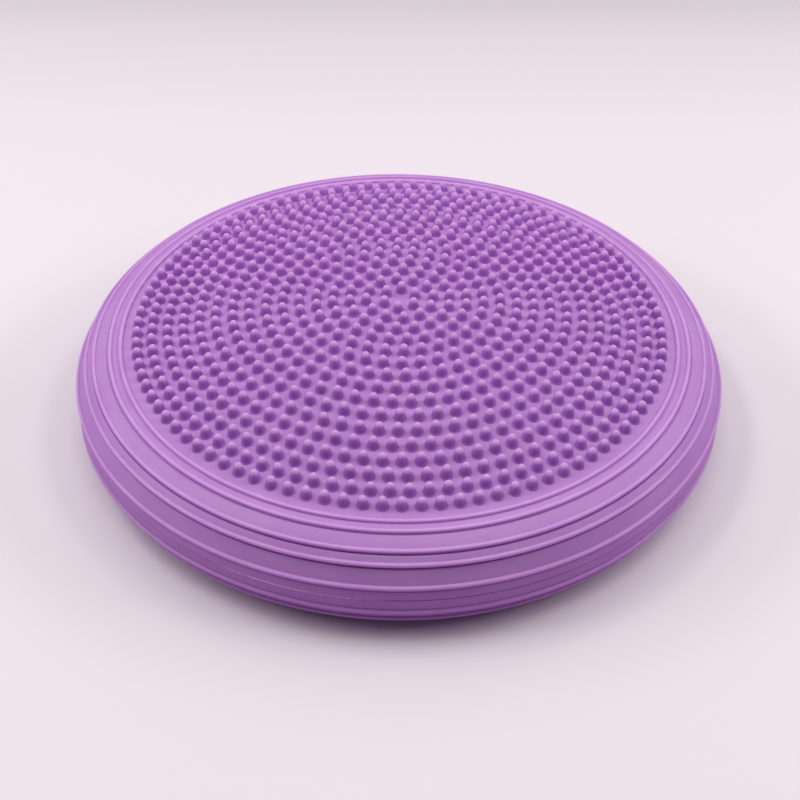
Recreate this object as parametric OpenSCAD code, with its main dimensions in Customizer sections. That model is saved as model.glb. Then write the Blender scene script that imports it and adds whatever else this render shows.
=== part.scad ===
// Inflatable balance disc: a round air cushion moulded in soft PVC.
// It lies on z = 0 with its axis on Z. The front is -Y.
// The two halves of the skin meet at the seam, halfway up the round rim.

/* [Skin] */
// Diameter of the circle that the rim's round section is swept along
rim_path_d = 280; // [250:1:320]
// Radius of the rim's round section
rim_r = 25; // [22:0.5:30]
// Thickness of the moulded skin
skin_t = 3; // [2:0.1:4]
// Height of the crown's middle above the top of the rim
crown_rise = 16.7; // [10:0.1:26]
// Depth of the flat underside below the bottom of the rim
belly_drop = 0.3; // [0.1:0.1:6]
// Diameter of the flat part of the underside
flat_d = 224; // [200:1:236]
// Angle above the seam, round the rim's section, where wall and panel meet
wall_angle = 64.5; // [60:0.5:70]

/* [Rim beads] */
// Radius of each raised bead's half-round section
bead_r = 1.2; // [0.6:0.1:1.6]
// Thickness of the welded seam between the halves
seam_t = 2.4; // [1.6:0.1:3.2]
// Height of the trimmed flash that stands out along the seam
flash_h = 0.4; // [0.2:0.1:0.8]
// Thickness of that flash
flash_t = 0.8; // [0.4:0.1:1.2]

/* [Massage nubs] */
// Distance from one ring of nubs to the next, along the skin
nub_pitch = 8.44; // [7.5:0.01:10]
// Diameter of a nub where it leaves the skin
nub_base_d = 5.8; // [4:0.1:6.6]
// Diameter of a nub's blunt tip
nub_tip_d = 4; // [2:0.1:4]
// Height of a nub
nub_h = 5.7; // [4:0.1:7]
// Plain margin between the outermost ring of nubs and the rim's path
nub_margin = 4.5; // [4:0.5:12]
// Gap that keeps a nub's flat foot from digging into the curved skin
nub_seat_gap = 0.1; // [0.05:0.01:0.2]

/* [Underside] */
// Height of the tread ring and how far the underside clears the floor
tread_h = 1.3; // [1:0.1:3]
// Width of the flat-faced tread ring
tread_w = 4; // [3:0.5:8]
// Plain margin between the tread ring and the edge of the flat part
tread_margin = 2; // [1:0.5:6]
// Distance from one ring of grip bumps to the next
bump_pitch = 17; // [15:0.5:24]
// Diameter of a grip bump
bump_d = 10; // [6:0.5:12]
// How far the grip bumps stay above the tread ring's face
bump_relief = 0.2; // [0.1:0.1:0.5]

/* [Valve] */
// Diameter of the rubber valve body
valve_d = 12; // [10:0.5:14]
// Diameter of the flange that holds the valve inside the skin
valve_flange_d = 18; // [16:0.5:20]
// Thickness of that flange
valve_flange_t = 1.5; // [1:0.1:2.5]
// Height of the valve body above the inside of the skin
valve_rise = 9; // [7:0.5:14]
// How far the valve body stands out under the skin
valve_stand_out = 0.5; // [0.2:0.1:1]
// Thickness of the slit membrane that closes the valve's inner end
membrane_t = 1.2; // [0.8:0.1:2]
// Diameter of the plug's stem
stem_d = 4.9; // [3:0.1:5.5]
// Diameter of the plug's head
head_d = 8.6; // [7:0.1:9]
// Thickness of the plug's head
head_t = 1.4; // [1:0.1:2]
// Gap round the stem in its bore
stem_clearance = 0.05; // [0.02:0.01:0.1]
// Gap round the plug's head, and round the valve body in the skin
seat_clearance = 0.2; // [0.1:0.05:0.3]

/* [Hidden] */
$fn = 96;
purple = [0.64, 0.40, 0.74];
light_purple = [0.74, 0.50, 0.84];
dark_purple = [0.50, 0.29, 0.60];
grey = [0.75, 0.75, 0.78];

path_r = rim_path_d / 2;
flat_r = flat_d / 2;
tread_r = flat_r - tread_margin - tread_w / 2;
seam_z = tread_h + belly_drop + rim_r;
skin_z = tread_h;
big = 2 * (path_r + rim_r);

// Beads round the rim's section, in degrees above or below the seam. Each wall carries
// three and each panel two.
upper_wall_beads = [15.5, 40, 54];
lower_wall_beads = [18.5, 40, 54];
panel_beads = [75, 87.5];

// How full the crown is in the middle, and how softly it runs into the rim
crown_fullness = 2.9;
crown_softness = 1.5;
// Points along the crown's section, the underside's rise and the panels' share of the rim
crown_steps = 28;
belly_steps = 8;
rim_steps = 8;

// The rings of nubs follow the skin, so seen from above the outer ones draw in
nub_rings = floor((path_r - nub_margin) / nub_pitch);
nubs_per_ring_step = 6;
nub_draw_in = 0.0166;
nub_draw_power = 6;
// How far each ring is turned, in tenths of the spacing of its own nubs
ring_turns = [9, 2, 8, 4, 2, 1, 3, 8, 6, 0, 9, 6, 1, 4, 5, 1];

bump_rings = floor((tread_r - tread_w / 2 - bump_d / 2) / bump_pitch);
bump_h = tread_h - bump_relief;

valve_bottom_z = skin_z - valve_stand_out;
valve_top_z = skin_z + skin_t + valve_rise;
bore_d = stem_d + 2 * stem_clearance;
stem_gap = 0.5;

// Height of the crown above the seam, at radius r
function crown(r) =
    rim_r + crown_rise * pow(1 - pow(min(r / path_r, 1), crown_fullness), crown_softness);

// Slope of the crown at radius r, in degrees
function crown_slope(r) = atan(crown(r + 0.5) - crown(r - 0.5));

// Depth of the underside below the seam, at radius r
function belly(r) =
    let (s = max(0, min(1, (r - flat_r) / (path_r - flat_r))))
    rim_r + belly_drop * (1 - s * s * (3 - 2 * s));

// Seen from above, the radius of ring number k of the nubs
function nub_ring_r(k) = nub_pitch * k * (1 - nub_draw_in * pow(k / nub_rings, nub_draw_power));

// A point on the rim's section, at an angle above the seam
function on_rim(angle, radius = rim_r) =
    [path_r + radius * cos(angle), radius * sin(angle)];

// A panel's share of the rim's section, from the top of the rim down to the wall
function panel_rim(radius) =
    [for (i = [1 : rim_steps]) on_rim(90 + (wall_angle - 90) * i / rim_steps, radius)];

// Points in the opposite order
function backwards(points) = [for (i = [len(points) - 1 : -1 : 0]) points[i]];

// Radii from the axis to the top of the rim, for the crown and for the underside
crown_radii = [for (i = [0 : crown_steps]) path_r * i / crown_steps];
belly_radii = concat([0], [for (i = [0 : belly_steps]) flat_r + (path_r - flat_r) * i / belly_steps]);

module beads(angles)
    for (a = angles) translate(on_rim(a)) circle(bead_r, $fn = 32);

// Skin of a panel: its face is given as points, and the skin lies below them
module panel(face) {
    inside = [for (p = face) p - [0, skin_t]];
    rotate_extrude()
        polygon(concat(face, panel_rim(rim_r), backwards(panel_rim(rim_r - skin_t)), backwards(inside)));
    for (a = panel_beads) rotate_extrude() translate(on_rim(a)) circle(bead_r, $fn = 32);
}

// Section of a side wall, from the seam to the panel, with its beads
module wall_section(bead_angles) {
    reach = 2 * rim_r;
    intersection() {
        difference() {
            union() {
                translate([path_r, 0]) circle(rim_r);
                beads(bead_angles);
            }
            translate([path_r, 0]) circle(rim_r - skin_t);
        }
        polygon([[path_r, seam_t / 2], [path_r + reach, seam_t / 2], on_rim(wall_angle / 2, reach),
                 on_rim(wall_angle, reach), on_rim(wall_angle, 1)]);
    }
}

module ring_of(count, radius, turn = 0)
    for (i = [0 : count - 1])
        rotate([0, 0, -90 + 360 * (i + turn) / count]) translate([radius, 0, 0]) children();

// Upper half of the skin, inside the side wall
module top_panel()
    color(purple) translate([0, 0, seam_z]) panel([for (r = crown_radii) [r, crown(r)]]);

// Blunt cones, in rings, that stand square to the crown
module nub_field()
    color(light_purple) translate([0, 0, seam_z])
        for (k = [1 : nub_rings]) {
            r = nub_ring_r(k);
            turn = ring_turns[(k - 1) % len(ring_turns)] / 10;
            ring_of(nubs_per_ring_step * k, r, turn)
                translate([0, 0, crown(r) + nub_seat_gap]) rotate([0, -crown_slope(r), 0])
                    cylinder(h = nub_h, d1 = nub_base_d, d2 = nub_tip_d, $fn = 24);
        }

module upper_wall()
    color(purple) translate([0, 0, seam_z]) rotate_extrude() wall_section(upper_wall_beads);

module seam_ring()
    color(light_purple) translate([0, 0, seam_z]) rotate_extrude() {
        intersection() {
            translate([path_r, 0]) difference() {
                circle(rim_r);
                circle(rim_r - skin_t);
            }
            translate([path_r, -seam_t / 2]) square([big, seam_t]);
        }
        translate([path_r + rim_r - skin_t / 2, -flash_t / 2]) square([skin_t / 2 + flash_h, flash_t]);
    }

module lower_wall()
    color(dark_purple) translate([0, 0, seam_z]) mirror([0, 0, 1]) rotate_extrude()
        wall_section(lower_wall_beads);

// Lower half of the skin, with the ring that it rests on and the hole for the valve
module lower_panel()
    color(dark_purple) difference() {
        union() {
            translate([0, 0, seam_z]) mirror([0, 0, 1]) panel([for (r = belly_radii) [r, belly(r)]]);
            rotate_extrude() translate([tread_r - tread_w / 2, 0]) square([tread_w, tread_h + skin_t / 2]);
        }
        translate([0, 0, -1]) cylinder(h = seam_z, d = valve_d + 2 * seat_clearance);
    }

// Low round bumps under the flat part, which just clear the floor
module grip_bumps()
    color(dark_purple)
        for (k = [1 : bump_rings])
            ring_of(nubs_per_ring_step * k, bump_pitch * k)
                translate([0, 0, skin_z - bump_h]) cylinder(h = bump_h, d1 = bump_d * 0.8, d2 = bump_d, $fn = 32);

// Rubber body in the skin: a flange inside, a bore for the plug, and a slit membrane
module valve_seat()
    color(grey) difference() {
        union() {
            translate([0, 0, valve_bottom_z]) cylinder(h = valve_top_z - valve_bottom_z, d = valve_d);
            translate([0, 0, skin_z + skin_t]) cylinder(h = valve_flange_t, d = valve_flange_d);
        }
        translate([0, 0, valve_bottom_z - 1])
            cylinder(h = valve_top_z - membrane_t - valve_bottom_z + 1, d = bore_d, $fn = 48);
        translate([0, 0, valve_bottom_z - 1]) cylinder(h = head_t + 1, d = head_d + 2 * seat_clearance);
    }

// Stopper that is pulled out to pump the disc up
module valve_plug()
    color("white") {
        translate([0, 0, valve_bottom_z]) cylinder(h = head_t, d = head_d);
        translate([0, 0, valve_bottom_z + head_t])
            cylinder(h = valve_top_z - membrane_t - stem_gap - valve_bottom_z - head_t, d = stem_d, $fn = 48);
    }

top_panel();
nub_field();
upper_wall();
seam_ring();
lower_wall();
lower_panel();
grip_bumps();
valve_seat();
valve_plug();
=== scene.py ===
# %% [markdown]
# # An inflatable balance disc
#
# The object is a round air cushion moulded in soft purple PVC, about 33 cm across. Its top is a low
# dome covered with rings of small massage nubs. Raised beads run round its rim, and a seam halfway
# up the rim joins the two halves of the skin. A rubber valve with a pull-out plug sits underneath.
#
# Everything here is in metres, with Z up, the floor at z = 0 and the front towards -Y. The packed
# model gives the places and the moving bodies. This script only adds what the eye sees: the true
# section of the skin, the shape of each nub, the moulding marks and the surfaces.

# %% Load the frame
import math

import bpy
import numpy as np
from mathutils import Matrix, Vector


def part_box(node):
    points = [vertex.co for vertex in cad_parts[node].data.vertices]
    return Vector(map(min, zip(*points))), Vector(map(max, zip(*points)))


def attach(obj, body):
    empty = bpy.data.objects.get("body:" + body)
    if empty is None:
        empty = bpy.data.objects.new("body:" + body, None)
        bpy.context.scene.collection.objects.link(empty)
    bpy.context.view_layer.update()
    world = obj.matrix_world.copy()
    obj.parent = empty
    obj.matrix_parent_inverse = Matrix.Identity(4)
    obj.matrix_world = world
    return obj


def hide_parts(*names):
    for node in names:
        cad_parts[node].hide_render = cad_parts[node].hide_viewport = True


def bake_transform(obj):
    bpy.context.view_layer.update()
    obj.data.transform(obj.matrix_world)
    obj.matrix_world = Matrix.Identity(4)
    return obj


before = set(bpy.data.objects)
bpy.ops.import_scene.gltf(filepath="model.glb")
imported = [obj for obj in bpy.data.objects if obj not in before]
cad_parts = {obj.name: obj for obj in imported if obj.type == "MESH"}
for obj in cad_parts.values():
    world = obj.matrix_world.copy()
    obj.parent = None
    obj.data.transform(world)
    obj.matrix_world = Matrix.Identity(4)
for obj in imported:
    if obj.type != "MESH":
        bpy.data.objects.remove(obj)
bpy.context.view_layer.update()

# %% [markdown]
# ## The sizes that everything else follows
#
# The rim of the disc is a tube: a round section carried along a circle. The skin of the top runs
# inwards from the highest line of that tube, and the skin of the underside from its lowest line.
# The height of the seam is read from the frame, and the rest are the maker's own sizes. The printed
# line compares them with the frame, so a change in one that the other misses shows at once.

# %% Sizes of the skin
mm = 0.001
path_r = 140 * mm       # radius of the circle that the rim's section is carried along
rim_r = 25 * mm         # radius of that section
skin_t = 3 * mm         # thickness of the skin
crown_rise = 16.7 * mm  # how far the middle of the top stands above the rim's highest line
crown_fullness = 2.9    # how flat the middle of the crown is
crown_softness = 1.5    # how gently the crown runs into the rim

seam_low, seam_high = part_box("seam_ring")
seam_z = (seam_low.z + seam_high.z) / 2
print("seam at", round(seam_z, 5), "m; flash stands out", round(seam_high.x - path_r - rim_r, 5), "m")

# %% [markdown]
# ## Turning a section into a surface
#
# Nearly every piece of this object is round, so one helper makes most of them. It takes the points
# of a section, each a radius and a height, and carries them round the Z axis. Blender's Spin tool
# or a Screw modifier could do that too. Working out the whole grid of points with numpy keeps full
# control over where the points lie, and they can be closely spaced at a bead and sparse elsewhere.
#
# The order of the points decides which way the faces look. Where the outside is on the left of a
# section, as one follows it, the faces point outwards. Where it is on the right, the grid is turned
# round with index[::-1] before it is joined, or the piece would be inside out.

# %% Lathe
def lathe(section, steps, wobble=None):
    """Carries a section round Z, and returns the vertices and a grid of their numbers. Point
    (i, j) is (r_j cos a_i, r_j sin a_i, z_j), with
    a_i = 2 pi i / steps. wobble(a, r, z) may change the radii and heights with the angle.
    A point of the section at r = 0 becomes a single vertex, so the pole is closed."""
    section = np.asarray(section, float)
    angle = 2 * np.pi * np.arange(steps)[:, None] / steps
    r = np.broadcast_to(section[:, 0], (steps, len(section)))
    z = np.broadcast_to(section[:, 1], (steps, len(section)))
    if wobble is not None:
        r, z = wobble(angle, r, z)
    points = np.stack([r * np.cos(angle), r * np.sin(angle), z + 0 * angle], axis=2)
    at_pole = section[:, 0] < 1e-9
    index = np.zeros(points.shape[:2], int)
    index[:, at_pole] = np.arange(at_pole.sum())
    count = at_pole.sum() + steps * np.arange((~at_pole).sum())
    index[:, ~at_pole] = count[None, :] + np.arange(steps)[:, None]
    vertices = np.zeros((index.max() + 1, 3))
    vertices[index.ravel()] = points.reshape(-1, 3)
    return vertices, index


def grid_faces(index, close_section=False):
    """Joins a grid of vertex numbers into faces. The first direction wraps round, and the
    second does too when close_section is set. Next to a pole the faces are triangles: a quad
    that starts or ends there would have one corner twice."""
    if close_section:
        index = np.concatenate([index, index[:, :1]], axis=1)
    here, turned = index, np.roll(index, -1, axis=0)
    quads = np.stack([here[:, :-1], here[:, 1:], turned[:, 1:], turned[:, :-1]], axis=2).reshape(-1, 4)
    starts_at_pole = quads[:, 0] == quads[:, 3]
    ends_at_pole = quads[:, 1] == quads[:, 2]
    whole = ~(starts_at_pole | ends_at_pole)
    first_triangles = quads[starts_at_pole][:, :3]
    last_triangles = quads[ends_at_pole][:, [0, 1, 3]]
    return quads[whole].tolist() + first_triangles.tolist() + last_triangles.tolist()


def faces_of_copies(faces, copies, points_each):
    """The same faces for each of many copies: copy n counts its vertices from n points_each."""
    first_point = points_each * np.arange(copies)[:, None]
    return [row for face in faces for row in (first_point + np.array(face)[None, :]).tolist()]


def add_piece(name, vertices, faces, material, crease=40):
    """Makes a mesh object at the origin, shaded smooth but for edges sharper than crease degrees."""
    mesh = bpy.data.meshes.new(name)
    mesh.from_pydata(vertices.tolist(), [], faces)
    mesh.polygons.foreach_set("use_smooth", np.ones(len(mesh.polygons), bool))
    mesh.set_sharp_from_angle(angle=math.radians(crease))
    mesh.materials.append(material)
    mesh.update()
    piece = bpy.data.objects.new(name, mesh)
    bpy.context.scene.collection.objects.link(piece)
    print(f"{name}: {len(mesh.vertices)} vertices, {len(mesh.polygons)} faces")
    return piece


def keep_values(piece, attribute, values):
    """Stores a number at each vertex of a piece, for its material to read."""
    layer = piece.data.attributes.new(attribute, "FLOAT", "POINT")
    layer.data.foreach_set("value", np.asarray(values, np.float32))

# %% [markdown]
# ## Building materials with code
#
# A material is a small network of nodes. Three helpers keep the recipes short: one adds a node and
# sets its values, one turns a colour as a screen shows it into the values that shaders use, and one
# makes a colour ramp. Names are plain words, so a recipe reads like a list of what the surface is
# made of.

# %% Node helpers
def add_node(tree, kind, label="", inputs=None, **settings):
    """Adds a shader node, sets its properties and the values of its unlinked inputs."""
    node = tree.nodes.new(kind)
    node.label = label
    for key, value in settings.items():
        setattr(node, key, value)
    for key, value in (inputs or {}).items():
        node.inputs[key].default_value = value
    return node


def linear(red, green, blue):
    """A colour given as 0 to 255 on screen, as the linear values that shaders use."""
    share = np.array([red, green, blue]) / 255
    straight = np.where(share <= 0.04045, share / 12.92, ((share + 0.055) / 1.055) ** 2.4)
    return (*straight.tolist(), 1.0)


def ramp(tree, source, stops, label=""):
    """A colour ramp fed by source. stops is a list of (position, colour), and a plain number
    stands for a grey."""
    node = add_node(tree, "ShaderNodeValToRGB", label)
    band = node.color_ramp
    while len(band.elements) < len(stops):
        band.elements.new(0.5)
    for element, (position, colour) in zip(band.elements, stops):
        element.position = position
        element.color = (colour, colour, colour, 1) if isinstance(colour, (int, float)) else colour
    tree.links.new(source, node.inputs["Fac"])
    return node.outputs["Color"]

# %% [markdown]
# ## Moulded PVC
#
# The skin is soft PVC, shaped in a hot mould. Its colour is even, but not perfectly so: the pigment
# clouds a little, and faint streaks run round the rim where the mould was wiped. The surface has
# the fine grain of the mould, which breaks the gloss into a satin sheen.
#
# Three materials share this, for the skin, the nubs and the seam, so the clouding, the streaks and
# the grain are a node group, built once. The group gives a colour, a roughness and a height. The
# shader and the bump stay in each material.

# %% The group for moulded PVC
def moulded_pvc_group():
    """Inputs: Colour, Pale (the colour of clouds and streaks), Clouding and Streaks (amounts),
    Gloss (the roughness of a clean patch). Outputs: Colour, Roughness, Height."""
    tree = bpy.data.node_groups.new("moulded_pvc", "ShaderNodeTree")
    for name, kind in (("Colour", "Color"), ("Pale", "Color"), ("Clouding", "Float"),
                       ("Streaks", "Float"), ("Gloss", "Float")):
        tree.interface.new_socket(name, in_out="INPUT", socket_type="NodeSocket" + kind)
    for name, kind in (("Colour", "Color"), ("Roughness", "Float"), ("Height", "Float")):
        tree.interface.new_socket(name, in_out="OUTPUT", socket_type="NodeSocket" + kind)
    link = tree.links.new
    given = add_node(tree, "NodeGroupInput")
    made = add_node(tree, "NodeGroupOutput")
    place = add_node(tree, "ShaderNodeTexCoord").outputs["Object"]

    clouds = add_node(tree, "ShaderNodeTexNoise", "pigment clouds",
                      {"Scale": 38, "Detail": 4, "Roughness": 0.55})
    link(place, clouds.inputs["Vector"])
    cloud_mask = ramp(tree, clouds.outputs["Fac"], [(0.35, 0.0), (0.7, 1.0)], "soft clouds")

    # Polar coordinates: the angle goes round the disc and counts little, so the noise is drawn
    # out into streaks, while radius and height count fully.
    split = add_node(tree, "ShaderNodeSeparateXYZ")
    link(place, split.inputs["Vector"])
    x_squared = add_node(tree, "ShaderNodeMath", "x squared", operation="MULTIPLY")
    link(split.outputs["X"], x_squared.inputs[0])
    link(split.outputs["X"], x_squared.inputs[1])
    both_squared = add_node(tree, "ShaderNodeMath", "x squared plus y squared", operation="MULTIPLY_ADD")
    link(split.outputs["Y"], both_squared.inputs[0])
    link(split.outputs["Y"], both_squared.inputs[1])
    link(x_squared.outputs[0], both_squared.inputs[2])
    radius = add_node(tree, "ShaderNodeMath", "radius", operation="SQRT")
    link(both_squared.outputs[0], radius.inputs[0])
    direction = add_node(tree, "ShaderNodeVectorMath", "direction from the axis", operation="NORMALIZE")
    flat = add_node(tree, "ShaderNodeCombineXYZ")
    link(split.outputs["X"], flat.inputs["X"])
    link(split.outputs["Y"], flat.inputs["Y"])
    link(flat.outputs[0], direction.inputs[0])
    drawn = add_node(tree, "ShaderNodeVectorMath", "little weight on the angle", operation="SCALE",
                     inputs={"Scale": 0.012})
    link(direction.outputs["Vector"], drawn.inputs[0])
    radial = add_node(tree, "ShaderNodeVectorMath", "radius and height", operation="ADD")
    stack = add_node(tree, "ShaderNodeCombineXYZ")
    link(radius.outputs[0], stack.inputs["X"])
    link(split.outputs["Z"], stack.inputs["Z"])
    link(stack.outputs[0], radial.inputs[0])
    link(drawn.outputs["Vector"], radial.inputs[1])
    streaks = add_node(tree, "ShaderNodeTexNoise", "wiped streaks",
                       {"Scale": 420, "Detail": 3, "Roughness": 0.5})
    link(radial.outputs["Vector"], streaks.inputs["Vector"])
    streak_mask = ramp(tree, streaks.outputs["Fac"], [(0.42, 0.0), (0.72, 1.0)], "fine streaks")

    cloud_amount = add_node(tree, "ShaderNodeMath", "clouding", operation="MULTIPLY")
    link(cloud_mask, cloud_amount.inputs[0])
    link(given.outputs["Clouding"], cloud_amount.inputs[1])
    streak_amount = add_node(tree, "ShaderNodeMath", "streaks", operation="MULTIPLY_ADD", use_clamp=True)
    link(streak_mask, streak_amount.inputs[0])
    link(given.outputs["Streaks"], streak_amount.inputs[1])
    link(cloud_amount.outputs[0], streak_amount.inputs[2])
    tint = add_node(tree, "ShaderNodeMix", "tint", data_type="RGBA")
    link(streak_amount.outputs[0], tint.inputs["Factor"])
    link(given.outputs["Colour"], tint.inputs[6])
    link(given.outputs["Pale"], tint.inputs[7])
    link(tint.outputs[2], made.inputs["Colour"])

    grain = add_node(tree, "ShaderNodeTexNoise", "mould grain",
                     {"Scale": 2600, "Detail": 2, "Roughness": 0.6})
    link(place, grain.inputs["Vector"])
    rough = add_node(tree, "ShaderNodeMath", "grain breaks the gloss", operation="MULTIPLY_ADD",
                     inputs={1: 0.12})
    link(grain.outputs["Fac"], rough.inputs[0])
    link(given.outputs["Gloss"], rough.inputs[2])
    link(rough.outputs[0], made.inputs["Roughness"])
    height = add_node(tree, "ShaderNodeMath", "grain with low waves", operation="MULTIPLY_ADD",
                      inputs={1: 2.5})
    link(clouds.outputs["Fac"], height.inputs[0])
    link(grain.outputs["Fac"], height.inputs[2])
    link(height.outputs[0], made.inputs["Height"])
    return tree


pvc_group = moulded_pvc_group()
print("sockets of the group:", [item.name for item in pvc_group.interface.items_tree])

# %% [markdown]
# ## The three purples
#
# A material for each finish: the skin, the nubs and the seam. Soft PVC lets a little light in, which
# softens its shadows, so the shader gets a small amount of subsurface light.
#
# The high places carry a painted highlight and the low ones painted shade, standing in for how the
# light falls on them. Noise can't know which is which, so each mesh says it: an attribute holds, for
# each vertex, how far up the bead or the nub it is, and a ramp on that attribute multiplies the colour.
# The colour given to a material is that of its palest places, where the painted highlight is.

# %% PVC materials
light_let_in = 0.12              # share of the light that enters the PVC
light_reach = (1.0, 0.45, 0.9)   # how far red, green and blue travel in it, as shares of the depth
light_depth = 1.2 * mm
pvc_shine = 0.3


def pvc_material(name, colour, pale, clouding, streaks, gloss, grain_depth):
    """A satin PVC in one colour, with pale clouds and streaks. gloss is the roughness of a clean
    patch, and grain_depth is in metres."""
    material = bpy.data.materials.new(name)
    material.use_nodes = True
    tree = material.node_tree
    shader = tree.nodes["Principled BSDF"]
    group = add_node(tree, "ShaderNodeGroup", "moulded PVC", node_tree=pvc_group)
    for key, value in (("Colour", colour), ("Pale", pale), ("Clouding", clouding),
                       ("Streaks", streaks), ("Gloss", gloss)):
        group.inputs[key].default_value = value
    tree.links.new(group.outputs["Colour"], shader.inputs["Base Color"])
    tree.links.new(group.outputs["Roughness"], shader.inputs["Roughness"])
    bump = add_node(tree, "ShaderNodeBump", "grain", {"Strength": 0.6, "Distance": grain_depth})
    tree.links.new(group.outputs["Height"], bump.inputs["Height"])
    tree.links.new(bump.outputs["Normal"], shader.inputs["Normal"])
    for key, value in (("Subsurface Weight", light_let_in), ("Subsurface Radius", light_reach),
                       ("Subsurface Scale", light_depth), ("Specular IOR Level", pvc_shine)):
        shader.inputs[key].default_value = value
    return material


def shade_by(material, attribute, stops):
    """Multiplies the colour of a material by a ramp that follows an attribute of the mesh."""
    tree = material.node_tree
    shader = tree.nodes["Principled BSDF"]
    plain = shader.inputs["Base Color"].links[0].from_socket
    share = add_node(tree, "ShaderNodeAttribute", attribute.replace("_", " "), attribute_name=attribute)
    depth = ramp(tree, share.outputs["Fac"], stops, "shade")
    product = add_node(tree, "ShaderNodeMix", "shaded colour", data_type="RGBA", blend_type="MULTIPLY",
                       inputs={"Factor": 1.0})
    tree.links.new(plain, product.inputs[6])
    tree.links.new(depth, product.inputs[7])
    tree.links.new(product.outputs[2], shader.inputs["Base Color"])


full_colour = (1, 1, 1, 1)

# Painted shade in a groove, the plain skin, and a painted highlight on the top of a bead.
skin_pvc = pvc_material("skin_pvc", colour=linear(208, 151, 224), pale=linear(222, 172, 234),
                        clouding=0.35, streaks=0.25, gloss=0.42, grain_depth=0.06 * mm)
shade_by(skin_pvc, "up_the_bead", [
    (0.3, (0.62, 0.40, 0.72, 1)),
    (0.46, (0.81, 0.77, 0.83, 1)),
    (0.78, (0.84, 0.81, 0.85, 1)),
    (0.98, full_colour),
])

# Painted shade on the foot and the deep purple flank of a nub, and a painted highlight on its tip.
nub_pvc = pvc_material("nub_pvc", colour=linear(214, 158, 227), pale=linear(224, 173, 234),
                       clouding=0.3, streaks=0.0, gloss=0.36, grain_depth=0.03 * mm)
shade_by(nub_pvc, "up_the_nub", [
    (0.02, (0.72, 0.60, 0.79, 1)),
    (0.2, (0.54, 0.36, 0.65, 1)),
    (0.5, (0.60, 0.44, 0.70, 1)),
    (0.66, (0.72, 0.60, 0.80, 1)),
    (0.77, full_colour),
])

# Painted shade: the seam is darker where its flash lies sunk below the rim, and keeps full colour where the
# flash stands proud.
seam_pvc = pvc_material("seam_pvc", colour=linear(222, 178, 234), pale=linear(236, 204, 244),
                        clouding=0.5, streaks=0.4, gloss=0.5, grain_depth=0.08 * mm)
shade_by(seam_pvc, "trimmed", [(0.1, (0.55, 0.36, 0.62, 1)), (0.7, full_colour)])
print("materials:", [material.name for material in (skin_pvc, nub_pvc, seam_pvc)])

# %% [markdown]
# ## The section of the skin
#
# Cut the disc in half and the skin shows as one line: almost level in the middle, falling faster
# further out, level again at the top of the rim, and then round the rim to the seam. Five beads
# stand on it. Each is a half-round ridge, and its foot meets the skin in a crisp line. Between the
# last two beads the wall is flat instead of round.
#
# The line is first worked out densely without beads, with the length along it and the direction
# square to it. A bead is then a lift at a place along that length. The final points are chosen
# where the shape needs them: close together on a bead, wide apart on the crown.

# %% Plain section
def crown(r):
    """Height above the seam: rim_r + rise (1 - (r / path_r)^fullness)^softness."""
    share = np.clip(r / path_r, 0, 1)
    return rim_r + crown_rise * (1 - share ** crown_fullness) ** crown_softness


def flat_band(angle, low, high):
    """How much of the radius is left at an angle where the section is cut straight from the
    angle low to the angle high: cos(half the band) / cos(angle - middle), and 1 elsewhere."""
    middle, half = (low + high) / 2, (high - low) / 2
    inside = np.abs(angle - middle) < half
    return np.where(inside, np.cos(half) / np.cos(np.where(inside, angle - middle, 0)), 1)


def on_rim(angle, radius):
    """Points on the rim's round section, at angles in radians above the seam."""
    angle = angle[:, None]
    return np.concatenate([path_r + radius * np.cos(angle), radius * np.sin(angle)], axis=1)


def follow(points):
    """The length along a line of points, and the direction square to it, out of the skin."""
    step = np.diff(points, axis=0)
    length = np.concatenate([[0], np.cumsum(np.hypot(step[:, 0], step[:, 1]))])
    along = np.gradient(points, axis=0)
    along /= np.hypot(along[:, 0], along[:, 1])[:, None]
    return length, np.stack([-along[:, 1], along[:, 0]], axis=1)


def at_length(length, values, wanted):
    """Values that are known at points along a line, read at other lengths along it."""
    return np.stack([np.interp(wanted, length, column) for column in values.T], axis=1)

# %% [markdown]
# ## Beads on the section
#
# A bead of radius b at length s0 lifts the skin by the square root of b squared minus (s - s0)
# squared. Its points are spaced evenly by angle, so the half circle stays round at its steep feet.
# On the side towards the seam a narrow groove runs beside the foot, and its shade with painted shade
# over it gives each bead a dark line next to it. The groove is deepest beside the two upper beads of the
# wall.

# %% Beads
bead_r = 1.2 * mm
bead_arc = np.cos(np.linspace(0, np.pi, 13))             # places across a bead, as shares of bead_r
upper_beads = np.radians([87.5, 75, 54, 40, 15.5])       # above the seam, seen from the rim's middle
lower_beads = np.radians([87.5, 75, 54, 40, 18.5])       # below it
groove_away = 1.5 * mm                                   # from the middle of the bead
groove_half = 0.4 * mm                                   # half the width of a groove
groove_depths = np.array([0.15, 0.35, 0.6, 0.6, 0.25]) * mm
groove_arc = np.linspace(-1, 1.8, 8)                     # places across a groove, as shares of its half
plain_share = 0.5   # the value of up_the_bead on plain skin; a groove has less, a bead more

points_on_face, points_on_rim = 46, 74
points_inside = 48


def bead_lift(lengths, centres):
    """Sum over the beads of sqrt(b^2 - (s - s0)^2), and 0 where that isn't real, less the
    groove beside each: depth exp(-((s - s0 - away) / half)^2)."""
    away = lengths[:, None] - centres[None, :]
    bead = np.sqrt(np.clip(bead_r ** 2 - away ** 2, 0, None))
    groove = groove_depths * np.exp(-((away - groove_away) / groove_half) ** 2)
    return (bead - groove).sum(axis=1)


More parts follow.
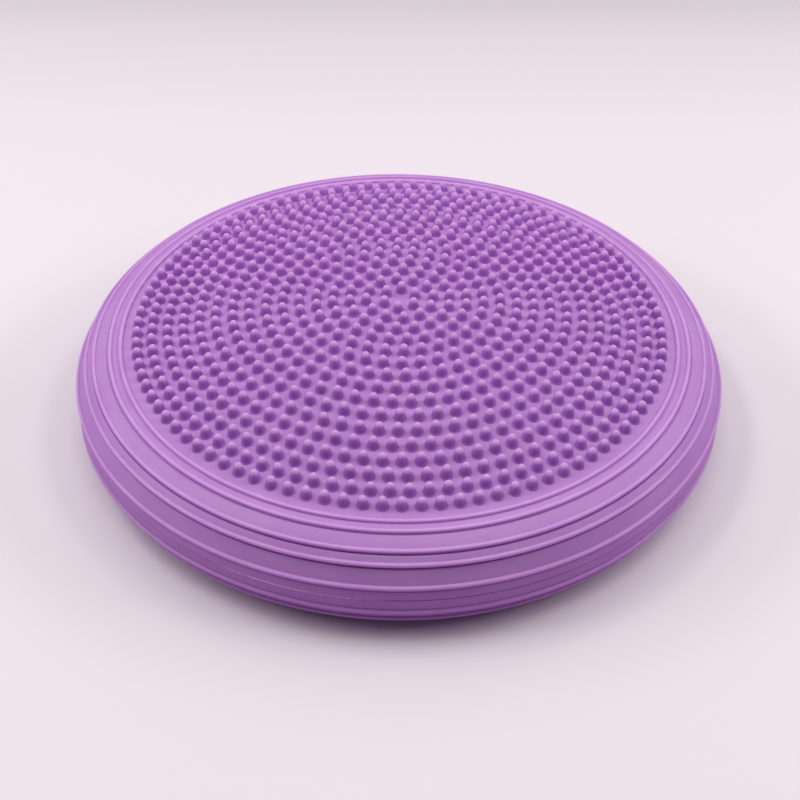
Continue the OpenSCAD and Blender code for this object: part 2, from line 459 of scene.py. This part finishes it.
def skin_section(face, end_angle, bead_angles, fuller=0, lift_more=None, extra=()):
    """The closed section of one half of the skin. face is the panel's line from the middle to
    the top of the rim, and the rim follows down to end_angle. Halfway round, the rim bulges by
    fuller, and between the last two beads it is flat. Returns the outer points, then the inner
    ones back to the start, and for each of them a share: plain_share on the plain skin, up to 1
    on a bead and less in a groove."""
    rim_angles = np.linspace(np.pi / 2, end_angle, 400)[1:]
    bulge = fuller * np.sin(2 * rim_angles)[:, None] ** 2
    straight = flat_band(rim_angles, bead_angles[-1], bead_angles[-2])[:, None]
    plain = np.concatenate([face, on_rim(rim_angles, rim_r * straight + bulge)])
    length, outward = follow(plain)
    top_of_rim = length[len(face) - 1]
    centres = top_of_rim + np.interp(np.pi / 2 - bead_angles, np.pi / 2 - rim_angles,
                                     length[len(face):] - top_of_rim)
    wanted = np.concatenate([
        np.linspace(0, top_of_rim - 4 * mm, points_on_face),
        np.linspace(top_of_rim - 3 * mm, length[-1], points_on_rim),
        (centres[:, None] + bead_r * bead_arc[None, :]).ravel(),
        (centres[:, None] + groove_away + groove_half * groove_arc[None, :]).ravel(),
        extra,
    ])
    wanted = np.unique(np.round(np.clip(wanted, 0, length[-1]), 7))
    lift = bead_lift(wanted, centres)
    if lift_more is not None:
        lift = lift + lift_more(wanted)
    outside = at_length(length, plain, wanted) + lift[:, None] * at_length(length, outward, wanted)
    back = np.linspace(length[-1], 0, points_inside)
    inside = at_length(length, plain, back) - skin_t * at_length(length, outward, back)
    inside[:, 0] = np.clip(inside[:, 0], plain[0, 0], None)
    up_the_bead = plain_share + (1 - plain_share) * np.clip(bead_lift(wanted, centres) / bead_r, -1, 1)
    return outside, inside, np.concatenate([up_the_bead, np.full(points_inside, plain_share)])


dense_points = 600
crown_r = np.linspace(0, path_r, dense_points)
flash_half = 0.35 * mm      # half the height of the gap that the seam fills
seam_angle = math.asin(flash_half / rim_r)
upper_outside, upper_inside, upper_share = skin_section(
    np.stack([crown_r, crown(crown_r)], axis=1), seam_angle, upper_beads)
print("points of the upper section:", len(upper_outside), "outside,", len(upper_inside), "inside")

# %% [markdown]
# ## The upper half
#
# One piece covers the top panel and the wall down to the seam, because on the real disc they are
# one sheet. The section runs from the axis outwards along the outside, and back along the inside, so
# it has the outside on its left. The lower half is made with the same function, but its section is a
# mirror image, so there the grid is turned round.

# %% Upper half of the skin
skin_steps = 300


def seat(section):
    """Moves a section from the seam's level to its height above the floor."""
    return section + [0, seam_z]


def half_of_skin(name, section, share, mirrored):
    """A closed shell from a whole section, turned round Z. A section that starts at the axis
    ends there too, and any other is joined to a ring. Each vertex keeps its share between
    groove and bead in the attribute up_the_bead."""
    vertices, index = lathe(seat(section), skin_steps)
    starts_off_axis = section[0, 0] > 1e-9
    faces = grid_faces(index[::-1] if mirrored else index, close_section=starts_off_axis)
    piece = add_piece(name, vertices, faces, skin_pvc)
    values = np.zeros(len(vertices))
    values[index] = share[None, :]
    keep_values(piece, "up_the_bead", values)
    return piece


upper_skin = half_of_skin("upper_skin", np.concatenate([upper_outside, upper_inside]), upper_share,
                          mirrored=False)
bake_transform(upper_skin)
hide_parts("top_panel", "upper_wall")

# %% [markdown]
# ## The nubs
#
# There are 16 rings of nubs, and each ring has 6 more than the one inside it, which is how equal
# round things pack round a centre. Each ring is turned by some amount, which is read from the packed
# nubs, so the nubs don't line up in rows. Along the skin the rings are evenly spaced. Seen from
# above, the outer ones draw in a little.
#
# A nub is a blunt cone with a round tip and a flared foot, which is open because it is sunk into
# the skin. All of them are one mesh: the points of one nub are worked out once, and a whole array of
# places, leans and heights puts a copy at each.

# %% Where the nubs stand
nub_rings = 16
more_each_ring = 6      # how many more nubs a ring has than the one inside it
nub_pitch = 8.44 * mm   # from ring to ring
nub_draw_in = 0.0166    # how much of its radius the outermost ring loses, seen from above
nub_draw_power = 6
front = -np.pi / 2      # the angle of the side that faces the front


def ring_radius(ring):
    """Radius of a ring, seen from above: pitch k (1 - draw_in (k / rings)^power)."""
    return nub_pitch * ring * (1 - nub_draw_in * (ring / nub_rings) ** nub_draw_power)


def numbered_rings(rings):
    """For each place in the rings 1 to rings: the number of its ring, and its number in that ring."""
    each = np.arange(1, rings + 1)
    in_ring = np.concatenate([np.arange(more_each_ring * ring) for ring in each])
    return np.repeat(each, more_each_ring * each), in_ring


def packed_points(node):
    """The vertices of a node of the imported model, one row (x, y, z) for each."""
    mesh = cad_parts[node].data
    points = np.zeros(3 * len(mesh.vertices), np.float32)
    mesh.vertices.foreach_get("co", points)
    return points.reshape(-1, 3).astype(float)


def turns_of_rings(points):
    """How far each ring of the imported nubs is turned, as a share of the spacing in that ring. A
    point belongs to the ring k whose radius is nearest. At the angle a from the front it adds
    exp(6 i k a), and the turn is the angle of that ring's sum over 2 pi: the two sides of a nub
    cancel out."""
    ring = np.arange(1, nub_rings + 1)
    nearest = np.abs(np.hypot(points[:, 0], points[:, 1])[:, None] - ring_radius(ring)).argmin(axis=1)
    angle = np.arctan2(points[:, 1], points[:, 0]) - front
    wave = np.exp(1j * more_each_ring * ring[nearest] * angle)
    across, upwards = (np.bincount(nearest, part, nub_rings) for part in (wave.real, wave.imag))
    return np.arctan2(upwards, across) / (2 * np.pi) % 1


ring_turns = turns_of_rings(packed_points("nub_field"))
print("turns of the rings:", np.round(ring_turns, 3).tolist())

ring_number, place_in_ring = numbered_rings(nub_rings)
nub_r = ring_radius(ring_number)
nub_angle = front + 2 * np.pi * (place_in_ring + ring_turns[ring_number - 1]) / (more_each_ring * ring_number)
print("nubs:", len(nub_r), "outermost ring at", round(nub_r.max(), 4), "m")

# %% Shape of a nub
nub_steps = 10
nub_section = np.array([[0, 5.75], [1.18, 5.4], [1.78, 4.65], [2.15, 3.5], [2.6, 1.8], [2.95, 0.4],
                        [3.4, -0.25]]) * mm
nub_spread = 0.02       # how much the nubs differ in height, and how far they lean
foot_h = 2.3 * mm       # the part of a nub that follows the slope of the crown
# Painted highlight: the pale tips reach further down the nubs at the back, where more light falls on them.
back_highlight_reach = 0.3         # how much further down the pale tips reach at the very back

one_nub, nub_index = lathe(nub_section, nub_steps)
rng = np.random.default_rng(4)
nub_height = 1 + nub_spread * rng.standard_normal(len(nub_r))
nub_lean = nub_spread * rng.standard_normal((len(nub_r), 2))


def place_nubs():
    """A point (x, y, z) of nub n is moved to centre_n + (x + lean_x z, y + lean_y z, height_n z).
    The foot is shorter on the uphill side: there z is raised by the crown under that point."""
    centre = np.stack([nub_r * np.cos(nub_angle), nub_r * np.sin(nub_angle)], axis=1)
    x, y, z = (column[None, :] for column in one_nub.T)
    tall = z * nub_height[:, None]
    across = centre[:, None] + np.stack([x + nub_lean[:, :1] * z, y + nub_lean[:, 1:] * z], axis=2)
    foot = 1 - np.clip(z / foot_h, 0, 1)
    under = crown(np.hypot(across[..., 0], across[..., 1]))
    ground = crown(nub_r)[:, None] * (1 - foot) + under * foot
    return np.concatenate([across, (seam_z + ground + tall)[..., None]], axis=2)


nub_points = place_nubs()
nub_faces = faces_of_copies(grid_faces(nub_index), len(nub_r), len(one_nub))
nubs = add_piece("massage_nubs", nub_points.reshape(-1, 3), nub_faces, nub_pvc, crease=70)

# Painted highlight: towards the back, where more light falls on the nubs, their pale tips reach further down.
share_of_height = np.tile(one_nub[:, 2] / one_nub[:, 2].max(), len(nub_r))
back_share = np.clip(nub_points[..., 1].ravel() / nub_r.max(), 0, 1)
keep_values(nubs, "up_the_nub", share_of_height + back_highlight_reach * back_share * (1 - share_of_height))
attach(nubs, "deck")
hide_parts("nub_field")

# %% [markdown]
# ## The underside and the lower half
#
# The lower half has five beads too, and the one next to the seam sits a little further from it than
# its neighbour above. The rim is a little fuller here. The middle is flat, because the disc lies on
# it, and a flat-faced tread ring near the edge carries it. A round hole in the middle takes the
# valve.

# %% Lower half of the skin
flat_r = 112 * mm       # the underside is flat out to here
belly_drop = 0.3 * mm   # how far the flat part lies below the rim's lowest line
tread_h = seam_z - rim_r - belly_drop
tread_r = 108 * mm      # radius of the tread ring's middle line
tread_w = 4 * mm
tread_soft = 0.7 * mm   # width of each rounded edge of the tread ring
hole_r = 6.2 * mm
lower_fuller = 0.8 * mm


def belly(r):
    """Depth below the seam: rim_r + drop (1 - smooth step from flat_r to path_r)."""
    share = np.clip((r - flat_r) / (path_r - flat_r), 0, 1)
    return rim_r + belly_drop * (1 - share ** 2 * (3 - 2 * share))


def tread_lift(lengths):
    """A flat-faced ridge with rounded edges: height times a smooth step up and down again."""
    away = np.abs(lengths - (tread_r - hole_r))
    share = np.clip((tread_w / 2 + tread_soft / 2 - away) / tread_soft, 0, 1)
    return tread_h * share ** 2 * (3 - 2 * share)


belly_r = np.linspace(hole_r, path_r, dense_points)
tread_edge = np.linspace(1.6, 2.4, 9) * mm      # places across the outer edge, from the middle line
tread_points = (tread_r - hole_r) + np.concatenate([-tread_edge[::-1], tread_edge])
lower_outside, lower_inside, lower_share = skin_section(
    np.stack([belly_r, belly(belly_r)], axis=1), seam_angle, lower_beads,
    fuller=lower_fuller, lift_more=tread_lift, extra=tread_points)
upside_down = np.array([1, -1])
lower_skin = half_of_skin("lower_skin", np.concatenate([lower_outside, lower_inside]) * upside_down,
                          lower_share, mirrored=True)
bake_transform(lower_skin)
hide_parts("lower_panel", "lower_wall")

# %% [markdown]
# ## Grip bumps
#
# Low round bumps under the flat part keep the disc from sliding on a smooth floor. They are placed
# like the nubs, in rings of six more each, at about twice the spacing. A bump hangs down, so the
# outside is on the right of its section.

# %% Grip bumps
bump_pitch = 17 * mm
bump_rings = 5
bump_steps = 20
bump_section = np.array([[0, -1.1], [2.2, -1.08], [4.0, -0.95], [4.8, -0.6], [5.2, 0.1]]) * mm

bump_ring, bump_place = numbered_rings(bump_rings)
bump_r = bump_pitch * bump_ring
bump_angle = front + 2 * np.pi * bump_place / (more_each_ring * bump_ring)
bump_centre = np.stack([bump_r * np.cos(bump_angle), bump_r * np.sin(bump_angle),
                        np.full(len(bump_angle), tread_h)], axis=1)
one_bump, bump_index = lathe(bump_section, bump_steps)
bump_points = (bump_centre[:, None] + one_bump[None]).reshape(-1, 3)
bump_faces = faces_of_copies(grid_faces(bump_index[::-1]), len(bump_centre), len(one_bump))
bumps = add_piece("grip_bumps_moulded", bump_points, bump_faces, skin_pvc, crease=70)
keep_values(bumps, "up_the_bead", np.full(len(bump_points), plain_share))
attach(bumps, "base")
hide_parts("grip_bumps")

# %% [markdown]
# ## The seam
#
# Where the halves of the mould met, a thin line of flash was squeezed out and trimmed. It is not
# even: in most places it lies just under the surface, where painted shade makes it a fine dark line,
# and along one stretch at the front left it stands out, paler and rougher. The height of the flash is
# a sum of waves of several lengths round the disc, with a smooth hill where the trimming left more.
# The attribute trimmed keeps that height for the material. It is 1 where the flash stands 0.25 mm or more
# proud.

# %% Seam with its flash
scar_from, scar_to = np.radians([-121, -93])
scar_edge = 8               # the higher, the shorter the soft ends of the scar
tag_places = np.radians([-113, -102])
tag_half = math.radians(0.22)
flash_waves = [(23, 1.3, 0.5), (61, 0.4, 0.3), (167, 0, 0.2)]   # waves a turn, start, share
trimmed_low = 0.12 * mm     # how far below the rim the trimmed flash lies
wave_h = 0.07 * mm
scar_h, scar_fine_h = 0.3 * mm, 0.06 * mm
tag_h = 0.45 * mm


def scar(angle):
    """1 along the stretch of proud flash and 0 elsewhere, with soft ends."""
    middle, half = (scar_from + scar_to) / 2, (scar_to - scar_from) / 2
    away = np.abs(np.angle(np.exp(1j * (angle - middle)))) / half
    return 1 / (1 + away ** scar_edge)


def flash_height(angle):
    """Height of the flash over the rim: a sum of sines round the disc, more on the scar, where a
    finer product of sines is added, and two small tags exp(-((angle - place) / half)^2) where
    the knife slipped. Angles are counted from -pi to pi."""
    angle = np.angle(np.exp(1j * angle))
    waves = sum(share * np.sin(count * angle + start) for count, start, share in flash_waves)
    fine = np.sin(311 * angle + 2 * np.sin(7 * angle)) * np.sin(97 * angle)
    tags = sum(np.exp(-((angle - place) / tag_half) ** 2) for place in tag_places)
    return -trimmed_low + wave_h * waves + scar(angle) * (scar_h + scar_fine_h * fine) + tag_h * tags


seam_steps = 1440
full_trim_h = 0.25 * mm
droop_h = 0.06 * mm
flash_depth = 0.5 * mm      # the points of the section this near its rim belong to the flash
outer_r = path_r + rim_r
# Each point is a depth below the outer radius and a height above the middle of the seam.
seam_depths = np.array([[skin_t / mm, 1.1], [skin_t / mm, -1.1], [0.8, -0.5], [0.25, -0.3],
                        [0, -0.12], [0, 0.12], [0.25, 0.3], [0.8, 0.5]]) * mm
seam_section = [outer_r, 0] + seam_depths * [-1, 1]


def shape_flash(angle, r, z):
    """Lifts the outer points of the seam's section by the flash's height at each angle, and
    moves them up and down by droop sin(41 angle) on the scar."""
    outer = (r > outer_r - flash_depth).astype(float)
    droop = droop_h * np.sin(41 * angle) * scar(angle)
    return r + outer * flash_height(angle), z + outer * droop


seam_vertices, seam_index = lathe(seat(seam_section), seam_steps, shape_flash)
seam_faces = grid_faces(seam_index[::-1], close_section=True)
seam = add_piece("seam_flash", seam_vertices, seam_faces, seam_pvc, crease=75)
seam_angles = 2 * np.pi * np.arange(seam_steps) / seam_steps
trimmed = np.zeros(len(seam_vertices))
trimmed[seam_index] = np.clip(flash_height(seam_angles) / full_trim_h, 0, 1)[:, None]
keep_values(seam, "trimmed", trimmed)
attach(seam, "seam")
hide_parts("seam_ring")

# %% [markdown]
# ## The valve
#
# A grey rubber body is held in the skin by a flange on the inside. A white plug with a stem closes
# it. Both are sections carried round too, with rounded edges, because moulded parts have no sharp
# corners. Their two materials need no group: a fine speckle is enough for parts this small.

# %% Valve materials
def plain_material(name, colour, rough, speckle_scale, speckle_depth):
    """A moulded material with a fine speckle in its colour, roughness and height. speckle_depth
    is in metres."""
    material = bpy.data.materials.new(name)
    material.use_nodes = True
    tree = material.node_tree
    shader = tree.nodes["Principled BSDF"]
    place = add_node(tree, "ShaderNodeTexCoord").outputs["Object"]
    speckle = add_node(tree, "ShaderNodeTexNoise", "speckle", {"Scale": speckle_scale, "Detail": 3})
    tree.links.new(place, speckle.inputs["Vector"])
    darker = tuple(0.86 * value for value in colour[:3]) + (1,)
    speckled_colour = ramp(tree, speckle.outputs["Fac"], [(0.3, darker), (0.75, colour)], "speckled colour")
    tree.links.new(speckled_colour, shader.inputs["Base Color"])
    speckled_rough = ramp(tree, speckle.outputs["Fac"], [(0.2, rough - 0.06), (0.8, rough + 0.08)],
                          "speckled roughness")
    tree.links.new(speckled_rough, shader.inputs["Roughness"])
    bump = add_node(tree, "ShaderNodeBump", "speckle height", {"Strength": 0.4, "Distance": speckle_depth})
    tree.links.new(speckle.outputs["Fac"], bump.inputs["Height"])
    tree.links.new(bump.outputs["Normal"], shader.inputs["Normal"])
    return material


valve_rubber = plain_material("valve_rubber", linear(150, 146, 154), rough=0.6,
                              speckle_scale=900, speckle_depth=0.04 * mm)
valve_plastic = plain_material("valve_plastic", linear(232, 230, 234), rough=0.35,
                               speckle_scale=500, speckle_depth=0.02 * mm)
print("valve materials:", [material.name for material in (valve_rubber, valve_plastic)])

# %% [markdown]
# The sections run up along the outside, so the outside is on their right and their grids are turned
# round. Heights come from the frame's boxes, so the valve follows the skin if that moves.

# %% Valve body and plug
body_low, body_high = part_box("valve_seat")
plug_low, plug_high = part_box("valve_plug")
valve_steps = 64
bore_r, socket_r, body_r, flange_r = 2.5 * mm, 4.5 * mm, 6 * mm, 9 * mm
flange_t, membrane_t, body_round = 1.5 * mm, 1.2 * mm, 0.35 * mm
head_r, stem_r, dimple_r = 4.3 * mm, 2.45 * mm, 1.6 * mm
head_t, dimple_h, dimple_edge, plug_round = 1.4 * mm, 0.25 * mm, 0.3 * mm, 0.3 * mm
tip_h, tip_in = 1.6 * mm, 0.7 * mm      # the tapered end of the stem


def rounded(points, radius, steps=3):
    """Cuts each corner of a line of points with a short curve. It starts and ends at the radius
    from the corner, or at 0.4 of the shorter side if that is less, and in between it is
    (1 - t)^2 start + 2 t (1 - t) corner + t^2 end."""
    points = np.asarray(points, float)
    before, corner, after = points[:-2], points[1:-1], points[2:]
    length_before = np.linalg.norm(corner - before, axis=1)[:, None]
    length_after = np.linalg.norm(after - corner, axis=1)[:, None]
    reach = np.minimum(radius, 0.4 * np.minimum(length_before, length_after))
    start = corner + (before - corner) / length_before * reach
    end = corner + (after - corner) / length_after * reach
    t = np.linspace(0, 1, steps)[None, :, None]
    curve = (1 - t) ** 2 * start[:, None] + 2 * t * (1 - t) * corner[:, None] + t ** 2 * end[:, None]
    return np.concatenate([points[:1], curve.reshape(-1, 2), points[-1:]])


skin_top = tread_h + skin_t
valve_line = rounded([
    [0, body_high.z - membrane_t], [bore_r, body_high.z - membrane_t], [bore_r, body_low.z + head_t],
    [socket_r, body_low.z + head_t], [socket_r, body_low.z], [body_r, body_low.z], [body_r, skin_top],
    [flange_r, skin_top], [flange_r, skin_top + flange_t], [body_r, skin_top + flange_t],
    [body_r, body_high.z], [0, body_high.z]], radius=body_round)
valve_vertices, valve_index = lathe(valve_line, valve_steps)
valve_body = add_piece("valve_body", valve_vertices, grid_faces(valve_index[::-1]), valve_rubber)
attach(valve_body, "base")
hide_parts("valve_seat")

plug_line = rounded([
    [0, plug_low.z + dimple_h], [dimple_r, plug_low.z + dimple_h], [dimple_r + dimple_edge, plug_low.z],
    [head_r, plug_low.z], [head_r, plug_low.z + head_t], [stem_r, plug_low.z + head_t],
    [stem_r, plug_high.z - tip_h], [stem_r - tip_in, plug_high.z], [0, plug_high.z]], radius=plug_round)
plug_vertices, plug_index = lathe(plug_line, valve_steps)
valve_plug = add_piece("valve_stopper", plug_vertices, grid_faces(plug_index[::-1]), valve_plastic)
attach(valve_plug, "plug")
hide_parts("valve_plug")

# %% [markdown]
# ## The floor
#
# The disc lies on a plain pale floor. It is one large square, and its colour depends on who looks.
# The camera sees a nearly white floor with painted shade that darkens it gently behind the disc, for
# the light falling off there, and far out it turns into a backdrop that shines by itself. Light that
# bounces off the floor onto the disc meets a purple tone instead, as if the room were deeper and less
# bright than it looks, so the underside of the rim stays dark. Light Path's Is Camera Ray tells the two
# apart.

# %% Floor
floor_half = 4.0
floor_corners = [(-floor_half, -floor_half, 0), (floor_half, -floor_half, 0),
                 (floor_half, floor_half, 0), (-floor_half, floor_half, 0)]
floor_mesh = bpy.data.meshes.new("floor")
floor_mesh.from_pydata(floor_corners, [], [(0, 1, 2, 3)])
floor = bpy.data.objects.new("floor", floor_mesh)
bpy.context.scene.collection.objects.link(floor)

seen_floor = np.array(linear(240, 230, 236)[:3])
bounced_floor = linear(203, 168, 207)
backdrop_colour = linear(236, 226, 232)
# Painted shade: to the camera the floor darkens behind the disc, standing in for the light falling off there.
darkens_from, darkens_to = 0.25, 0.5    # along Y, behind the disc
painted_floor_falloff = [(0.0, 1.0), (0.24, 0.985), (0.68, 0.915), (0.8, 0.875), (0.92, 0.825), (1.0, 0.795)]
backdrop_from, backdrop_to = 0.7, 1.6   # distance from the disc


def paint_floor():
    """The floor's material: pale, with painted shade that darkens it behind the disc, and shining far out
    for the camera, and one plain colour for all other rays."""
    paint = bpy.data.materials.new("floor_paint")
    paint.use_nodes = True
    tree = paint.node_tree
    link = tree.links.new
    shader = tree.nodes["Principled BSDF"]
    shader.inputs["Roughness"].default_value = 0.6
    shader.inputs["Specular IOR Level"].default_value = 0.3
    camera_ray = add_node(tree, "ShaderNodeLightPath").outputs["Is Camera Ray"]
    place = add_node(tree, "ShaderNodeTexCoord").outputs["Object"]

    split = add_node(tree, "ShaderNodeSeparateXYZ")
    link(place, split.inputs[0])
    behind = add_node(tree, "ShaderNodeMapRange", "behind the disc",
                      {"From Min": darkens_from, "From Max": darkens_to})
    link(split.outputs["Y"], behind.inputs["Value"])
    shades = [(where, (*(share * seen_floor).tolist(), 1)) for where, share in painted_floor_falloff]
    seen = add_node(tree, "ShaderNodeMix", "paler to the camera", data_type="RGBA")
    seen.inputs[6].default_value = bounced_floor
    link(ramp(tree, behind.outputs["Result"], shades, "darker behind the disc"), seen.inputs[7])
    link(camera_ray, seen.inputs["Factor"])
    link(seen.outputs[2], shader.inputs["Base Color"])

    distance = add_node(tree, "ShaderNodeVectorMath", "distance from the disc", operation="LENGTH")
    link(place, distance.inputs[0])
    far_out = add_node(tree, "ShaderNodeMapRange", "far out",
                       {"From Min": backdrop_from, "From Max": backdrop_to})
    link(distance.outputs["Value"], far_out.inputs["Value"])
    far_seen = add_node(tree, "ShaderNodeMath", "to the camera only", operation="MULTIPLY")
    link(far_out.outputs["Result"], far_seen.inputs[0])
    link(camera_ray, far_seen.inputs[1])
    backdrop = add_node(tree, "ShaderNodeEmission", "backdrop", {"Color": backdrop_colour, "Strength": 1.0})
    both = add_node(tree, "ShaderNodeMixShader", "floor to backdrop")
    link(far_seen.outputs[0], both.inputs["Fac"])
    link(shader.outputs[0], both.inputs[1])
    link(backdrop.outputs[0], both.inputs[2])
    link(both.outputs[0], tree.nodes["Material Output"].inputs["Surface"])
    return paint


floor_mesh.materials.append(paint_floor())
print("floor:", 2 * floor_half, "m square")

# %% [markdown]
# ## Light and camera
#
# Eight soft boxes light the disc, all of them above it and pointed at its middle. The one overhead
# and the two strips beside it light the top. The two at the sides are wide along the rim, so the
# shadow in front keeps a soft edge. The three at the back draw pale lines on the far beads and throw
# the narrow shadow under the front. The world adds a weak even light from all round, and the camera
# sees it as the same pale backdrop.

# %% Light
def soft_box(name, place, width, depth, power):
    """A rectangular lamp at place that looks at the origin. power is in watts."""
    lamp = bpy.data.lights.new(name, "AREA")
    lamp.shape = "RECTANGLE"
    lamp.size, lamp.size_y = width, depth
    lamp.energy = power
    holder = bpy.data.objects.new(name, lamp)
    bpy.context.scene.collection.objects.link(holder)
    holder.location = place
    holder.rotation_euler = (-Vector(place)).to_track_quat("-Z", "Y").to_euler()


soft_box("overhead", (0, -0.22, 1.6), width=0.6, depth=1.3, power=5.3)
soft_box("strip_left", (-0.8, 0.05, 1.57), width=0.8, depth=0.3, power=6.0)
soft_box("strip_right", (0.8, 0.05, 1.57), width=0.8, depth=0.3, power=4.4)
soft_box("side_left", (-1.5, 0.05, 1.0), width=1.1, depth=0.5, power=9.6)
soft_box("side_right", (1.5, 0.05, 1.0), width=1.1, depth=0.5, power=9.6)
soft_box("back_left", (-1.2, 1.0, 0.9), width=0.9, depth=0.9, power=3.1)
soft_box("back_right", (1.2, 1.0, 0.9), width=0.9, depth=0.9, power=3.6)
soft_box("back", (0, 1.0, 1.3), width=1.4, depth=1.2, power=2.6)
print("lamps:", len(bpy.data.lights))

# %% World
room_light = linear(250, 246, 250)
room_strength = 0.09


def light_room():
    """A world that is a weak even light, and the backdrop's colour to the camera."""
    world = bpy.data.worlds.new("room")
    world.use_nodes = True
    tree = world.node_tree
    link = tree.links.new
    weak = tree.nodes["Background"]
    weak.inputs["Color"].default_value = room_light
    weak.inputs["Strength"].default_value = room_strength
    seen = add_node(tree, "ShaderNodeBackground", "seen by the camera",
                    {"Color": backdrop_colour, "Strength": 1.0})
    camera_ray = add_node(tree, "ShaderNodeLightPath").outputs["Is Camera Ray"]
    either = add_node(tree, "ShaderNodeMixShader")
    link(camera_ray, either.inputs["Fac"])
    link(weak.outputs[0], either.inputs[1])
    link(seen.outputs[0], either.inputs[2])
    link(either.outputs[0], tree.nodes["World Output"].inputs["Surface"])
    bpy.context.scene.world = world


light_room()

# %% Camera
camera_data = bpy.data.cameras.new("camera")
camera_data.sensor_width = 36
camera_data.lens = 67.56
camera = bpy.data.objects.new("camera", camera_data)
bpy.context.scene.collection.objects.link(camera)
camera_place = Vector((-4.4 * mm, -612.6 * mm, seam_z + 488.6 * mm))
turn, look_down, roll = np.radians([-0.47, 39.88, 0.63])
camera.matrix_world = (Matrix.Translation(camera_place) @ Matrix.Rotation(turn, 4, "Z")
                       @ Matrix.Rotation(math.pi / 2 - look_down, 4, "X") @ Matrix.Rotation(roll, 4, "Z"))
bpy.context.scene.camera = camera
bpy.context.scene.view_settings.view_transform = "Standard"
print("camera:", round(camera_place.length, 3), "m from the middle of the floor")
